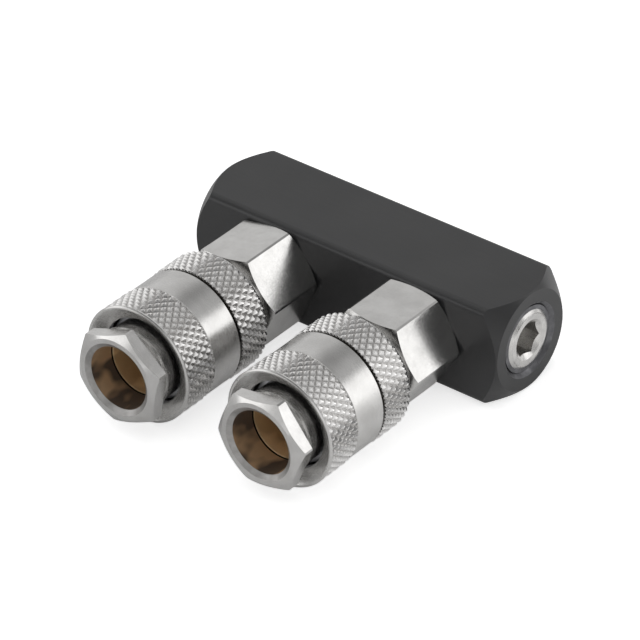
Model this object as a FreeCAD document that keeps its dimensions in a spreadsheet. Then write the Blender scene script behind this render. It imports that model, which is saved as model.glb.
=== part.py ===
import FreeCAD, Part
import math
import os

import Sketcher
from FreeCAD import Placement, Rotation, Vector

# Two-way compressed-air splitter: a square bar with an inlet at its left end, a plug at its right
# end and two quick couplers on its front. The origin is the centre of the inlet's mouth, X runs
# along the bar, the couplers point to -Y and Z is up. All sizes are in millimetres and degrees.
#
# Each coupler is built along its own axis: "out" is the distance from the bar's front face.

DRIVING_SIZES = {
    # bar
    "bar_length": 68.4,
    "bar_side": 20.0,
    "bar_edge_radius": 1.5,
    "bar_end_land": 0.2,
    "bar_end_angle": 40.0,
    "port_pitch": 32.0,
    # G1/4 ports and what screws into them
    "port_thread": 13.157,
    "port_bevel": 0.22,
    "end_port_depth": 11.4,
    "front_port_depth": 6.8,
    "gallery_bore": 6.6,
    "gallery_overrun": 3.0,
    "thread_play": 0.05,
    # end plug
    "plug_length": 9.0,
    "plug_chamfer": 0.8,
    "plug_recess": 0.15,
    "plug_key": 6.0,
    "plug_key_depth": 5.0,
    # adaptor with its long hexagon
    "hex_flats": 18.3,
    "hex_length": 13.4,
    "hex_chamfer_angle": 30.0,
    "corner_turning": 0.12,
    "left_hex_turn": 7.0,
    "right_hex_turn": -2.0,
    "stub_length": 6.0,
    "stub_bore": 6.4,
    "collar_length": 9.0,
    "collar_relief": 2.0,
    "collar_relief_cut": 1.2,
    "barrel_length": 2.6,
    "barrel_wall": 1.6,
    "chamber_bore": 13.0,
    "chamber_floor": 6.0,
    "joint_thread": 14.0,
    "joint_thread_length": 4.5,
    "joint_thread_runout": 1.0,
    # sealing ring in the hexagon's back face
    "port_seal_inset": 0.05,
    "port_seal_width": 1.5,
    "port_seal_height": 1.5,
    # socket with its hexagon nose
    "coupler_reach": 44.6,
    "nose_length": 3.0,
    "nose_step": 0.85,
    "nose_face_inset": 0.5,
    "nose_chamfer_angle": 30.0,
    "left_nose_turn": 20.5,
    "right_nose_turn": 8.5,
    "mouth_flare": 0.9,
    "mouth_bevel": 0.5,
    "socket_bore": 12.5,
    "socket_bore_depth": 16.6,
    "pilot_step": 0.25,
    "guide_ring_depth": 6.2,
    "guide_ring_width": 0.35,
    "guide_ring_cut": 0.3,
    "throat_bore": 10.2,
    # lip seal in the throat
    "lip_ledge": 0.8,
    "lip_width": 1.8,
    "lip_groove_cut": 0.9,
    "lip_squeeze": 0.2,
    "lip_edge": 0.5,
    # locking balls
    "ball_diameter": 2.5,
    "ball_bite": 0.9,
    "ball_depth": 12.35,
    "ball_hole_play": 0.05,
    "ball_lip_play": 0.01,
    "ball_play": 0.15,
    # sleeve
    "nose_reach": 5.8,
    "sleeve_gap": 2.2,
    "sleeve_travel": 3.0,
    "sleeve_play": 0.05,
    "sleeve_dish": 1.6,
    "sleeve_rim": 0.3,
    "sleeve_lip": 1.0,
    "skirt_play": 0.3,
    "skirt_step": 0.4,
    "skirt_wall": 0.85,
    "neck_play": 0.3,
    "land_length": 3.1,
    "land_overhang": 0.2,
    "front_knurl_length": 7.9,
    "band_length": 7.1,
    "band_step": 0.2,
    "groove_width": 0.35,
    "groove_cut": 0.25,
    # stop ring in front of the balls
    "stop_ring_grip": 0.45,
    "stop_ring_bed": 0.5,
    "stop_ring_width": 1.0,
    "stop_ring_gap": 2.0,
    "stop_ring_play": 0.05,
    "stop_ring_entry": 0.1,
    # sleeve spring
    "sleeve_wire": 0.9,
    "sleeve_turns": 3.0,
    "spring_play": 0.25,
    # valve
    "valve_fit": 0.06,
    "valve_tip_gap": 1.0,
    "valve_tube_bore": 7.6,
    "valve_tube_depth": 3.6,
    "valve_window": 2.6,
    "valve_disc": 11.9,
    "valve_disc_length": 1.6,
    "valve_spigot_length": 1.5,
    "valve_seal_width": 0.7,
    # valve spring
    "valve_wire": 0.7,
    "valve_turns": 4.0,
    "valve_coil_inset": 0.2,
}
BALLS = 6
WINDOWS = 4
PLANE_OF = {"across": "XY_Plane", "profile": "XZ_Plane", "side": "YZ_Plane"}
ALONG_COUPLER = Rotation(Vector(1, 0, 0), 90)


class Size:
    """A number together with the spreadsheet expression that gives it."""

    def __init__(self, number, text):
        self.number = number
        self.text = text

    def __add__(self, other):
        other = size(other)
        return Size(self.number + other.number, f"({self.text} + {other.text})")

    def __sub__(self, other):
        other = size(other)
        return Size(self.number - other.number, f"({self.text} - {other.text})")

    def __mul__(self, other):
        other = size(other)
        return Size(self.number * other.number, f"({self.text} * {other.text})")

    def __truediv__(self, other):
        other = size(other)
        return Size(self.number / other.number, f"({self.text} / {other.text})")

    def __neg__(self):
        return Size(-self.number, f"(0 - {self.text})")


def size(value):
    """Turn a driving size's name or a plain number into a Size."""
    if isinstance(value, Size):
        return value
    if isinstance(value, str):
        return Size(DRIVING_SIZES[value], f"Sizes.{value}")
    return Size(value, repr(float(value)))


def tangent(name):
    return Size(math.tan(math.radians(DRIVING_SIZES[name])), f"tan(Sizes.{name})")


def root(value):
    return Size(math.sqrt(value.number), f"sqrt({value.text})")


def larger(one, other):
    return Size(max(one.number, other.number), f"max({one.text}; {other.text})")


def radius(name):
    return size(name) / 2


# How far a cutting outline runs past the surface it cuts
CLEAR = size(2.0)

# The bar and its ports
HALF_BAR = radius("bar_side")
BAR_CORNER = HALF_BAR * math.sqrt(2)
PORT_R = radius("port_thread")
PORT_MOUTH_R = PORT_R + "port_bevel"
STUB_R = PORT_R - "thread_play"
PORT_CENTRES = {
    "left": (size("bar_length") - "port_pitch") / 2,
    "right": (size("bar_length") + "port_pitch") / 2,
}

# Distances out along a coupler
HEX_END = size("hex_length")
COLLAR_END = HEX_END + "collar_length"
BARREL_END = COLLAR_END + "barrel_length"
SOCKET_TAIL = BARREL_END - "joint_thread_length"
NOSE_END = size("coupler_reach")
NOSE_BACK = NOSE_END - "nose_length"
BORE_END = NOSE_END - "socket_bore_depth"
LIP_FRONT = BORE_END - "lip_ledge"
LIP_BACK = LIP_FRONT - "lip_width"
BALL_OUT = NOSE_END - "ball_depth"
LAND_FRONT = BALL_OUT + "land_overhang"
LAND_BACK = LAND_FRONT - "land_length"
VALVE_DISC_FRONT = SOCKET_TAIL - "valve_seal_width"
VALVE_DISC_BACK = VALVE_DISC_FRONT - "valve_disc_length"

# Radii about a coupler's axis, from the plug's bore outwards
BORE_R = radius("socket_bore")
PILOT_R = BORE_R - "pilot_step"
THROAT_R = radius("throat_bore")
LIP_GROOVE_R = THROAT_R + "lip_groove_cut"
THREAD_R = radius("joint_thread")
BALL_R = radius("ball_diameter")
BALL_SINK = BALL_R - "ball_bite"
BALL_ORBIT = BORE_R + BALL_SINK
LAND_R = BALL_ORBIT + BALL_R + "ball_play"
RELEASE_R = LAND_R + "ball_bite"
NECK_R = LAND_R - "neck_play"
RING_BED_R = NECK_R - "stop_ring_bed"
RING_R = LAND_R + "stop_ring_grip"
OPENING_R = RING_R + "stop_ring_entry"
BARREL_R = THREAD_R + "barrel_wall"
COIL_INSIDE = larger(BARREL_R, NECK_R) + "spring_play"
GUIDE_R = COIL_INSIDE + "sleeve_wire" + "spring_play"
COLLAR_R = GUIDE_R - "sleeve_play"
RELIEF_R = COLLAR_R - "collar_relief_cut"
HEX_R = radius("hex_flats")
HEX_CORNER_R = HEX_R * (2 / math.sqrt(3)) - "corner_turning"
SKIRT_R = larger(HEX_CORNER_R + "skirt_play", GUIDE_R + "skirt_step")
SLEEVE_R = SKIRT_R + "skirt_wall"
NOSE_R = NECK_R + "nose_step"
NOSE_CORNER_R = NOSE_R * (2 / math.sqrt(3)) - "corner_turning"
TUBE_R = THROAT_R - "valve_fit"
DISC_R = radius("valve_disc")
VALVE_COIL_R = DISC_R - "valve_coil_inset" - radius("valve_wire")

# The sleeve's ramp lifts its land off the balls over its travel, and the stop ring meets the ramp
RAMP = size("ball_bite") / "sleeve_travel"
RAMP_END = LAND_FRONT + "sleeve_travel"
RING_BACK = LAND_FRONT + size("stop_ring_grip") / RAMP + "stop_ring_play"
RING_FRONT = RING_BACK + "stop_ring_width"

doc = FreeCAD.newDocument("AirHoseSplitter")
pieces = {}


def fill_sheet():
    """Write each driving size into its own aliased cell."""
    sheet = doc.addObject("Spreadsheet::Sheet", "Sizes")
    for row, (alias, value) in enumerate(DRIVING_SIZES.items(), start=1):
        sheet.set(f"A{row}", alias)
        sheet.set(f"B{row}", str(value))
        sheet.setAlias(f"B{row}", alias)
    doc.recompute()


def new_body(label):
    body = doc.addObject("PartDesign::Body", label)
    body.Label = label
    pieces[label] = body
    return body


def new_sketch(body, name, plane, lift=None, turn=None):
    """A sketch on one of the body's own planes, lifted along and turned about its normal."""
    sketch = body.newObject("Sketcher::SketchObject", f"{body.Name}_{name}")
    role = PLANE_OF[plane]
    origin_plane = [f for f in body.Origin.OriginFeatures if f.Role == role][0]
    sketch.AttachmentSupport = [(origin_plane, "")]
    sketch.MapMode = "FlatFace"
    if turn is not None:
        sketch.AttachmentOffset = Placement(Vector(), Rotation(Vector(0, 0, 1), turn.number))
        sketch.setExpression("AttachmentOffset.Rotation.Angle", turn.text)
    if lift is not None:
        sketch.setExpression("AttachmentOffset.Base.z", lift.text)
    return sketch


def pin_down(sketch, geometry, position, place):
    """Hold one point of a sketch at a pair of sizes measured from the sketch's origin."""
    kinds = (("DistanceX", -2), ("DistanceY", -1))
    for (kind, axis), value in zip(kinds, place):
        if abs(value.number) < 1e-9:
            sketch.addConstraint(Sketcher.Constraint("PointOnObject", geometry, position, axis))
            continue
        if value.number > 0:
            ends = (-1, 1, geometry, position)
        else:
            ends = (geometry, position, -1, 1)
            value = -value
        index = sketch.addConstraint(Sketcher.Constraint(kind, *ends, value.number))
        sketch.setExpression(f"Constraints[{index}]", value.text)


def draw_outline(sketch, places):
    """Draw a closed outline whose corners are bound to the sheet."""
    corners = [(size(x), size(y)) for x, y in places]
    vectors = [Vector(x.number, y.number, 0) for x, y in corners]
    first = sketch.GeometryCount
    count = len(corners)
    for i in range(count):
        sketch.addGeometry(Part.LineSegment(vectors[i], vectors[(i + 1) % count]))
    for i in range(count):
        following = first + (i + 1) % count
        sketch.addConstraint(Sketcher.Constraint("Coincident", first + i, 2, following, 1))
    for i, corner in enumerate(corners):
        pin_down(sketch, first + i, 1, corner)


def hexagon(apothem):
    """Corners of a hexagon whose first corner lies on the sketch's x axis."""
    corner = apothem * (2 / math.sqrt(3))
    half = corner / 2
    return [
        (corner, 0), (half, apothem), (-half, apothem),
        (-corner, 0), (-half, -apothem), (half, -apothem),
    ]


def turned(body, name, kind, outlines, axis="V_Axis", plane="profile"):
    """Revolve outlines about a sketch axis: kind is Revolution to add or Groove to cut."""
    sketch = new_sketch(body, name, plane)
    for outline in outlines:
        draw_outline(sketch, outline)
    feature = body.newObject(f"PartDesign::{kind}", f"{body.Name}_{name}_turned")
    feature.Profile = sketch
    feature.ReferenceAxis = (sketch, [axis])
    feature.Angle = 360
    sketch.Visibility = False
    body.Tip = feature
    return feature


def extruded(body, name, kind, outline, length, lift=None, turn=None):
    """Extrude an outline across the body's axis: kind is Pad to add or Pocket to cut."""
    sketch = new_sketch(body, name, "across", lift, turn)
    draw_outline(sketch, outline)
    feature = body.newObject(f"PartDesign::{kind}", f"{body.Name}_{name}_run")
    feature.Profile = sketch
    feature.setExpression("Length", size(length).text)
    sketch.Visibility = False
    body.Tip = feature
    return feature


def around_axis(body, feature, count):
    """Repeat a feature evenly about the body's axis."""
    pattern = body.newObject("PartDesign::PolarPattern", f"{feature.Name}_ring")
    pattern.Originals = [feature]
    pattern.Axis = (feature.Profile[0], ["V_Axis"])
    pattern.Angle = 360
    pattern.Occurrences = count
    body.Tip = pattern


def put_on_coupler(piece, side):
    """Stand a piece on the bar's front face, on the axis of one port."""
    piece.Placement = Placement(Vector(), ALONG_COUPLER)
    piece.setExpression("Placement.Base.x", PORT_CENTRES[side].text)
    piece.setExpression("Placement.Base.y", (-HALF_BAR).text)


def turn_corners(body, back, front, corner, face, angle, both_ends):
    """Turn a hexagon's corners to a round and one or both of its ends to a cone."""
    run = (corner - face) * tangent(angle)
    outside = corner + CLEAR
    outline = [(face, front + CLEAR), (face, front), (corner, front - run)]
    if both_ends:
        outline += [(corner, back + run), (face, back), (face, back - CLEAR)]
    else:
        outline.append((corner, back - CLEAR))
    outline += [(outside, back - CLEAR), (outside, front + CLEAR)]
    turned(body, "corners", "Groove", [outline])


def make_bar():
    """The square bar with round edges, coned ends, a gallery and four tapped ports."""
    body = new_body("manifold_bar")
    sketch = new_sketch(body, "section", "side")
    draw_outline(sketch, [(HALF_BAR, HALF_BAR), (-HALF_BAR, HALF_BAR),
                          (-HALF_BAR, -HALF_BAR), (HALF_BAR, -HALF_BAR)])
    pad = body.newObject("PartDesign::Pad", "bar_pad")
    pad.Profile = sketch
    pad.setExpression("Length", "Sizes.bar_length")
    body.Tip = pad
    doc.recompute()
    round_long_edges(body, pad)
    cone_ends(body)
    bore_gallery(body)
    for side in PORT_CENTRES:
        bore_front_port(body, side)


def round_long_edges(body, pad):
    long_edges = []
    for index, edge in enumerate(pad.Shape.Edges, start=1):
        box = edge.BoundBox
        if box.XLength > box.YLength + box.ZLength:
            long_edges.append(f"Edge{index}")
    fillet = body.newObject("PartDesign::Fillet", "bar_edges")
    fillet.Base = (pad, long_edges)
    fillet.setExpression("Radius", "Sizes.bar_edge_radius")
    body.Tip = fillet
    doc.recompute()


def cone_ends(body):
    """Turn the bar's ends to a cone that leaves a round flat face."""
    face = HALF_BAR - "bar_end_land"
    run = (BAR_CORNER - face) * tangent("bar_end_angle")
    end = size("bar_length")
    left = [(0, face), (run, BAR_CORNER), (-CLEAR, BAR_CORNER), (-CLEAR, face)]
    right = [(end, face), (end - run, BAR_CORNER), (end + CLEAR, BAR_CORNER),
             (end + CLEAR, face)]
    turned(body, "cones", "Groove", [left, right], axis="H_Axis")


def bore_gallery(body):
    """Bore the gallery from end to end, with a tapped port at each end."""
    bevel = size("port_bevel")
    depth = size("end_port_depth")
    gallery = radius("gallery_bore")
    end = size("bar_length")
    bores = [
        (0, 0), (0, PORT_MOUTH_R), (bevel, PORT_R), (depth, PORT_R), (depth, gallery),
        (end - depth, gallery), (end - depth, PORT_R), (end - bevel, PORT_R),
        (end, PORT_MOUTH_R), (end, 0),
    ]
    turned(body, "gallery", "Groove", [bores], axis="H_Axis")


def bore_front_port(body, side):
    """Bore one front port down to the gallery."""
    gallery = radius("gallery_bore")
    bottom = -HALF_BAR + "front_port_depth"
    crossing = size("gallery_overrun") - gallery
    port = [
        (0, -HALF_BAR), (PORT_MOUTH_R, -HALF_BAR), (PORT_R, -HALF_BAR + "port_bevel"),
        (PORT_R, bottom), (gallery, bottom), (gallery, crossing), (0, crossing),
    ]
    groove = turned(body, f"{side}_port", "Groove", [port], plane="across")
    groove.Profile[0].setExpression("AttachmentOffset.Base.x", PORT_CENTRES[side].text)


def make_end_plug():
    """The threaded plug with its hexagon key hole, screwed into the bar's right end."""
    body = new_body("end_plug")
    length = size("plug_length")
    chamfer = size("plug_chamfer")
    outline = [
        (0, 0), (STUB_R - chamfer, 0), (STUB_R, chamfer), (STUB_R, length - chamfer),
        (STUB_R - chamfer, length), (0, length),
    ]
    turned(body, "body", "Revolution", [outline])
    extruded(body, "key", "Pocket", hexagon(radius("plug_key")), "plug_key_depth", lift=length)
    body.Placement = Placement(Vector(), Rotation(Vector(0, 1, 0), 90))
    start = size("bar_length") - "plug_recess" - length
    body.setExpression("Placement.Base.x", start.text)


def port_seal_outline():
    inner = PORT_MOUTH_R + "port_seal_inset"
    outer = inner + "port_seal_width"
    height = size("port_seal_height")
    return [(inner, 0), (outer, 0), (outer, height), (inner, height)]


def make_adaptor(side):
    """The long hexagon with its threaded stub, guide collar and valve chamber."""
    body = new_body(f"{side}_adaptor")
    extruded(body, "hexagon", "Pad", hexagon(HEX_R), "hex_length",
             turn=size(f"{side}_hex_turn"))
    turn_corners(body, size(0), HEX_END, HEX_CORNER_R, HEX_R, "hex_chamfer_angle",
                 both_ends=True)
    stub_end = -size("stub_length")
    relief_end = HEX_END + "collar_relief"
    outer = [
        (0, stub_end), (STUB_R, stub_end), (STUB_R, HEX_END), (RELIEF_R, HEX_END),
        (RELIEF_R, relief_end), (COLLAR_R, relief_end), (COLLAR_R, COLLAR_END),
        (BARREL_R, COLLAR_END), (BARREL_R, BARREL_END), (0, BARREL_END),
    ]
    turned(body, "rounds", "Revolution", [outer])

    stub_bore = radius("stub_bore")
    chamber = radius("chamber_bore")
    thread_start = SOCKET_TAIL - "joint_thread_runout"
    inner = [
        (0, stub_end), (stub_bore, stub_end), (stub_bore, "chamber_floor"),
        (chamber, "chamber_floor"), (chamber, thread_start), (THREAD_R, thread_start),
        (THREAD_R, BARREL_END), (0, BARREL_END),
    ]
    turned(body, "chamber", "Groove", [inner])
    turned(body, "seal_groove", "Groove", [port_seal_outline()])
    put_on_coupler(body, side)


def make_port_seal(side):
    """The captive ring that the hexagon presses on the bar."""
    body = new_body(f"{side}_port_seal")
    turned(body, "ring", "Revolution", [port_seal_outline()])
    put_on_coupler(body, side)


def make_socket(side):
    """The plug socket with its hexagon nose, ball holes, seal groove and joint thread."""
    body = new_body(f"{side}_socket")
    extruded(body, "hexagon", "Pad", hexagon(NOSE_R), "nose_length", lift=NOSE_BACK,
             turn=size(f"{side}_nose_turn"))
    turn_corners(body, NOSE_BACK, NOSE_END, NOSE_CORNER_R, NOSE_R - "nose_face_inset",
                 "nose_chamfer_angle", both_ends=False)
    thread = THREAD_R - "thread_play"
    outer = [
        (0, SOCKET_TAIL), (thread, SOCKET_TAIL), (thread, BARREL_END), (NECK_R, BARREL_END),
        (NECK_R, RING_BACK), (RING_BED_R, RING_BACK), (RING_BED_R, RING_FRONT),
        (NECK_R, RING_FRONT), (NECK_R, NOSE_BACK), (0, NOSE_BACK),
    ]
    turned(body, "neck", "Revolution", [outer])

    cut_front = NOSE_END - "guide_ring_depth"
    cut_back = cut_front - "guide_ring_width"
    cut = BORE_R + "guide_ring_cut"
    inner = [
        (0, SOCKET_TAIL), (THROAT_R, SOCKET_TAIL), (THROAT_R, LIP_BACK),
        (LIP_GROOVE_R, LIP_BACK), (LIP_GROOVE_R, LIP_FRONT), (THROAT_R, LIP_FRONT),
        (THROAT_R, BORE_END), (PILOT_R, BORE_END), (PILOT_R, cut_back), (cut, cut_back),
        (cut, cut_front), (BORE_R, cut_front), (BORE_R, NOSE_END - "mouth_bevel"),
        (BORE_R + "mouth_flare", NOSE_END), (0, NOSE_END),
    ]
    turned(body, "bore", "Groove", [inner])
    cut_ball_holes(body)
    put_on_coupler(body, side)


def cut_ball_holes(body):
    """Radial holes that narrow to a lip at the bore, so that a ball can't fall through."""
    hole = BALL_R + "ball_hole_play"
    lip = root(BALL_R * BALL_R - BALL_SINK * BALL_SINK) + "ball_lip_play"
    inside = PILOT_R - BALL_SINK
    outside = NECK_R + CLEAR
    outline = [
        (inside, 0), (inside, lip), (BORE_R, lip), (BALL_ORBIT, hole), (outside, hole),
        (outside, 0),
    ]
    groove = turned(body, "ball_hole", "Groove", [outline], axis="H_Axis")
    groove.Profile[0].setExpression("AttachmentOffset.Base.y", BALL_OUT.text)
    around_axis(body, groove, BALLS)


def make_plug_seal(side):
    """The rubber lip ring that seals on the tip of the hose plug."""
    body = new_body(f"{side}_plug_seal")
    inner = THROAT_R - "lip_squeeze"
    front_edge = LIP_FRONT - "lip_edge"
    back_edge = LIP_BACK + "lip_edge"
    outline = [
        (LIP_GROOVE_R, LIP_BACK), (LIP_GROOVE_R, LIP_FRONT), (THROAT_R, LIP_FRONT),
        (inner, front_edge), (inner, back_edge), (THROAT_R, LIP_BACK),
    ]
    turned(body, "lip", "Revolution", [outline])
    put_on_coupler(body, side)


def make_sleeve(side):
    """The sliding sleeve: knurled bands outside, and land, ramp and skirt inside."""
    body = new_body(f"{side}_sleeve")
    back = HEX_END + "sleeve_gap"
    front = NOSE_END - "nose_reach"
    rim = size("sleeve_rim")
    band = SLEEVE_R - "band_step"
    band_front = front - "front_knurl_length"
    band_back = band_front - "band_length"
    groove_floor = band - "groove_cut"
    groove_back = band_back - "groove_width"
    skirt_end = HEX_END + "sleeve_travel" + "skirt_play"
    guide_start = skirt_end + SKIRT_R - GUIDE_R
    opening_front = front - "sleeve_dish"
    opening_back = opening_front - "sleeve_lip"
    outline = [
        (SKIRT_R, back), (SLEEVE_R - rim, back), (SLEEVE_R, back + rim),
        (SLEEVE_R, groove_back), (groove_floor, groove_back), (groove_floor, band_back),
        (band, band_back), (band, band_front), (SLEEVE_R, band_front), (SLEEVE_R, front - rim),
        (SLEEVE_R - rim, front), (OPENING_R, opening_front), (OPENING_R, opening_back),
        (RELEASE_R, opening_back), (RELEASE_R, RAMP_END), (LAND_R, LAND_FRONT),
        (LAND_R, LAND_BACK), (GUIDE_R, LAND_BACK), (GUIDE_R, guide_start),
        (SKIRT_R, skirt_end),
    ]
    turned(body, "shell", "Revolution", [outline])
    put_on_coupler(body, side)


def make_stop_ring(side):
    """The open snap ring that stops the sleeve at its forward end."""
    body = new_body(f"{side}_stop_ring")
    section = [(RING_BED_R, RING_BACK), (RING_R, RING_BACK), (RING_R, RING_FRONT),
               (RING_BED_R, RING_FRONT)]
    turned(body, "ring", "Revolution", [section])
    half_gap = radius("stop_ring_gap")
    inside = RING_BED_R - half_gap
    outside = RING_R + CLEAR
    gap = [(inside, -half_gap), (outside, -half_gap), (outside, half_gap), (inside, half_gap)]
    extruded(body, "gap", "Pocket", gap, size("stop_ring_width") + CLEAR, lift=RING_FRONT)
    put_on_coupler(body, side)


def make_coil(label, side, start, end, middle, wire, turns):
    """A compression spring with ends ground flat between two seats."""
    body = new_body(f"{side}_{label}")
    half_wire = radius(wire)
    wire = size(wire)
    length = end - start
    sketch = new_sketch(body, "wire", "profile")
    draw_outline(sketch, [
        (middle - half_wire, start - half_wire), (middle + half_wire, start - half_wire),
        (middle + half_wire, start + half_wire), (middle - half_wire, start + half_wire),
    ])
    helix = body.newObject("PartDesign::AdditiveHelix", f"{body.Name}_coil")
    helix.Profile = sketch
    helix.ReferenceAxis = (sketch, ["V_Axis"])
    helix.Mode = 0
    helix.setExpression("Pitch", (length / turns).text)
    helix.setExpression("Height", length.text)
    sketch.Visibility = False
    body.Tip = helix
    inside = middle - wire
    outside = middle + wire
    ground_ends = [
        [(inside, start - wire), (outside, start - wire), (outside, start), (inside, start)],
        [(inside, end), (outside, end), (outside, end + wire), (inside, end + wire)],
    ]
    turned(body, "ground_ends", "Groove", ground_ends)
    put_on_coupler(body, side)


def make_valve(side):
    """The poppet: a windowed tube that the plug pushes on, a disc and a spring spigot."""
    body = new_body(f"{side}_valve")
    tube_front = LIP_BACK - "valve_tip_gap"
    tube_floor = tube_front - "valve_tube_depth"
    tube_bore = radius("valve_tube_bore")
    spigot = VALVE_COIL_R - radius("valve_wire") - "spring_play"
    spigot_back = VALVE_DISC_BACK - "valve_spigot_length"
    outline = [
        (0, spigot_back), (spigot, spigot_back), (spigot, VALVE_DISC_BACK),
        (DISC_R, VALVE_DISC_BACK), (DISC_R, VALVE_DISC_FRONT), (TUBE_R, VALVE_DISC_FRONT),
        (TUBE_R, tube_front), (tube_bore, tube_front), (tube_bore, tube_floor),
        (0, tube_floor),
    ]
    turned(body, "poppet", "Revolution", [outline])
    window = radius("valve_window")
    outside = TUBE_R + CLEAR
    hole = [(0, 0), (0, window), (outside, window), (outside, 0)]
    groove = turned(body, "window", "Groove", [hole], axis="H_Axis")
    middle = (tube_front + tube_floor) / 2
    groove.Profile[0].setExpression("AttachmentOffset.Base.y", middle.text)
    around_axis(body, groove, WINDOWS)
    put_on_coupler(body, side)


def make_valve_seal(side):
    """The flat rubber ring that the poppet's disc presses on the socket's tail."""
    body = new_body(f"{side}_valve_seal")
    outline = [(TUBE_R, VALVE_DISC_FRONT), (DISC_R, VALVE_DISC_FRONT), (DISC_R, SOCKET_TAIL),
               (TUBE_R, SOCKET_TAIL)]
    turned(body, "ring", "Revolution", [outline])
    put_on_coupler(body, side)


def make_balls(side):
    """The locking balls, each held in the plug's groove by the sleeve's land."""
    for number in range(BALLS):
        label = f"{side}_ball_{number + 1}"
        ball = doc.addObject("Part::Sphere", label)
        ball.Label = label
        ball.setExpression("Radius", BALL_R.text)
        angle = 2 * math.pi * number / BALLS
        across = PORT_CENTRES[side] + BALL_ORBIT * math.cos(angle)
        up = BALL_ORBIT * math.sin(angle)
        ball.setExpression("Placement.Base.x", across.text)
        ball.setExpression("Placement.Base.y", (-HALF_BAR - BALL_OUT).text)
        ball.setExpression("Placement.Base.z", up.text)
        pieces[label] = ball


def make_coupler(side):
    make_adaptor(side)
    make_port_seal(side)
    make_socket(side)
    make_plug_seal(side)
    make_sleeve(side)
    make_stop_ring(side)
    sleeve_coil = COIL_INSIDE + radius("sleeve_wire")
    make_coil("sleeve_spring", side, COLLAR_END, LAND_BACK, sleeve_coil, "sleeve_wire",
              "sleeve_turns")
    make_valve(side)
    make_valve_seal(side)
    make_coil("valve_spring", side, size("chamber_floor"), VALVE_DISC_BACK, VALVE_COIL_R,
              "valve_wire", "valve_turns")
    make_balls(side)


def check_document():
    """Stop if any object failed or any piece is empty or broken."""
    for item in doc.Objects:
        if "Invalid" in item.State or "Error" in item.State:
            raise RuntimeError(f"{item.Name} failed: {item.State}")
    for label, piece in pieces.items():
        shape = piece.Shape
        if shape.isNull() or not shape.isValid() or len(shape.Solids) != 1:
            raise RuntimeError(f"{label} has no single valid solid")


def write_pieces():
    os.makedirs("parts", exist_ok=True)
    for label, piece in pieces.items():
        piece.Shape.exportStep(f"parts/{label}.step")


fill_sheet()
make_bar()
make_end_plug()
for side in PORT_CENTRES:
    make_coupler(side)
doc.recompute()
check_document()
write_pieces()
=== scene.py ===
"""Looks for a two-way compressed-air splitter: black bar, end plug and two knurled couplers."""

import logging
import math
from contextlib import contextmanager
from dataclasses import dataclass, field
from enum import Enum
from typing import Callable, Iterator, Optional, Sequence

import bmesh
import bpy
from mathutils import Matrix, Vector

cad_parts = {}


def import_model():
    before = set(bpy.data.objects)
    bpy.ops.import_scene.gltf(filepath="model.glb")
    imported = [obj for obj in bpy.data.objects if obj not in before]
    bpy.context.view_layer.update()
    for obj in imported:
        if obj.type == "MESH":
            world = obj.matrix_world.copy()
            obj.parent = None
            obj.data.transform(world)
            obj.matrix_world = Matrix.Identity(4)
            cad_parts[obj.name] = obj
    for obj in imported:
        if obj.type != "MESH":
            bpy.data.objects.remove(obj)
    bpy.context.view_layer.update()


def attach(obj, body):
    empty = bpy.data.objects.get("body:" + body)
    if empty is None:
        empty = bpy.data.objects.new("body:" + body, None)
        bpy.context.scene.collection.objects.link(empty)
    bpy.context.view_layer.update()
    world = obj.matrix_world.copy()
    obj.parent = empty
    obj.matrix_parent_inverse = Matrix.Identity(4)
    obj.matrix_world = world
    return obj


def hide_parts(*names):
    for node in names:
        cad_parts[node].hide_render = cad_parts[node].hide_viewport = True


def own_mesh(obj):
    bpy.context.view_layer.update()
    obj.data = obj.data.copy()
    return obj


MM = 0.001
LOG = logging.getLogger("splitter")
QUARTER_TURN = math.pi / 2
# How far a cutting tool stands past what it cuts, in millimetres
CLEARANCE = 1.0

Point = tuple[float, float]
Triple = tuple[float, float, float]
Piece = bpy.types.Object
Material = bpy.types.Material
Socket = bpy.types.NodeSocket


class Side(Enum):
    """The two couplers, named as the bar lies in front of the viewer."""

    LEFT = "left"
    RIGHT = "right"


class Carve(Enum):
    """How one solid works on another."""

    CUT = "DIFFERENCE"
    KEEP_COMMON = "INTERSECT"


# Mesh work in millimetres


def add_object(name: str, data: bpy.types.ID) -> Piece:
    """Put a new object in the scene.

    Args:
        name: its name.
        data: its mesh, light or camera.

    Returns:
        The object.
    """
    piece = bpy.data.objects.new(name, data)
    bpy.context.scene.collection.objects.link(piece)
    return piece


@contextmanager
def opened(mesh: bpy.types.Mesh) -> Iterator[bmesh.types.BMesh]:
    """Open a mesh for changes, and close it with its faces pointing outwards.

    Args:
        mesh: the mesh that changes.

    Yields:
        Its open form.
    """
    bm = bmesh.new()
    bm.from_mesh(mesh)
    yield bm
    bmesh.ops.recalc_face_normals(bm, faces=bm.faces)
    bm.to_mesh(mesh)
    bm.free()


def bake_modifiers(piece: Piece) -> None:
    """Replace an object's mesh by what its modifiers make of it, and remove them.

    Args:
        piece: the object.
    """
    bpy.context.view_layer.update()
    graph = bpy.context.evaluated_depsgraph_get()
    result = bpy.data.meshes.new_from_object(piece.evaluated_get(graph), depsgraph=graph)
    old = piece.data
    piece.modifiers.clear()
    piece.data = result
    if old.users == 0:
        bpy.data.meshes.remove(old)


def modify(piece: Piece, kind: str, **settings: object) -> None:
    """Apply one modifier to an object.

    Args:
        piece: the object, whose mesh changes.
        kind: the modifier's type.
        settings: the modifier's properties.
    """
    modifier = piece.modifiers.new(kind.lower(), kind)
    for key, value in settings.items():
        setattr(modifier, key, value)
    bake_modifiers(piece)


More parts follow.
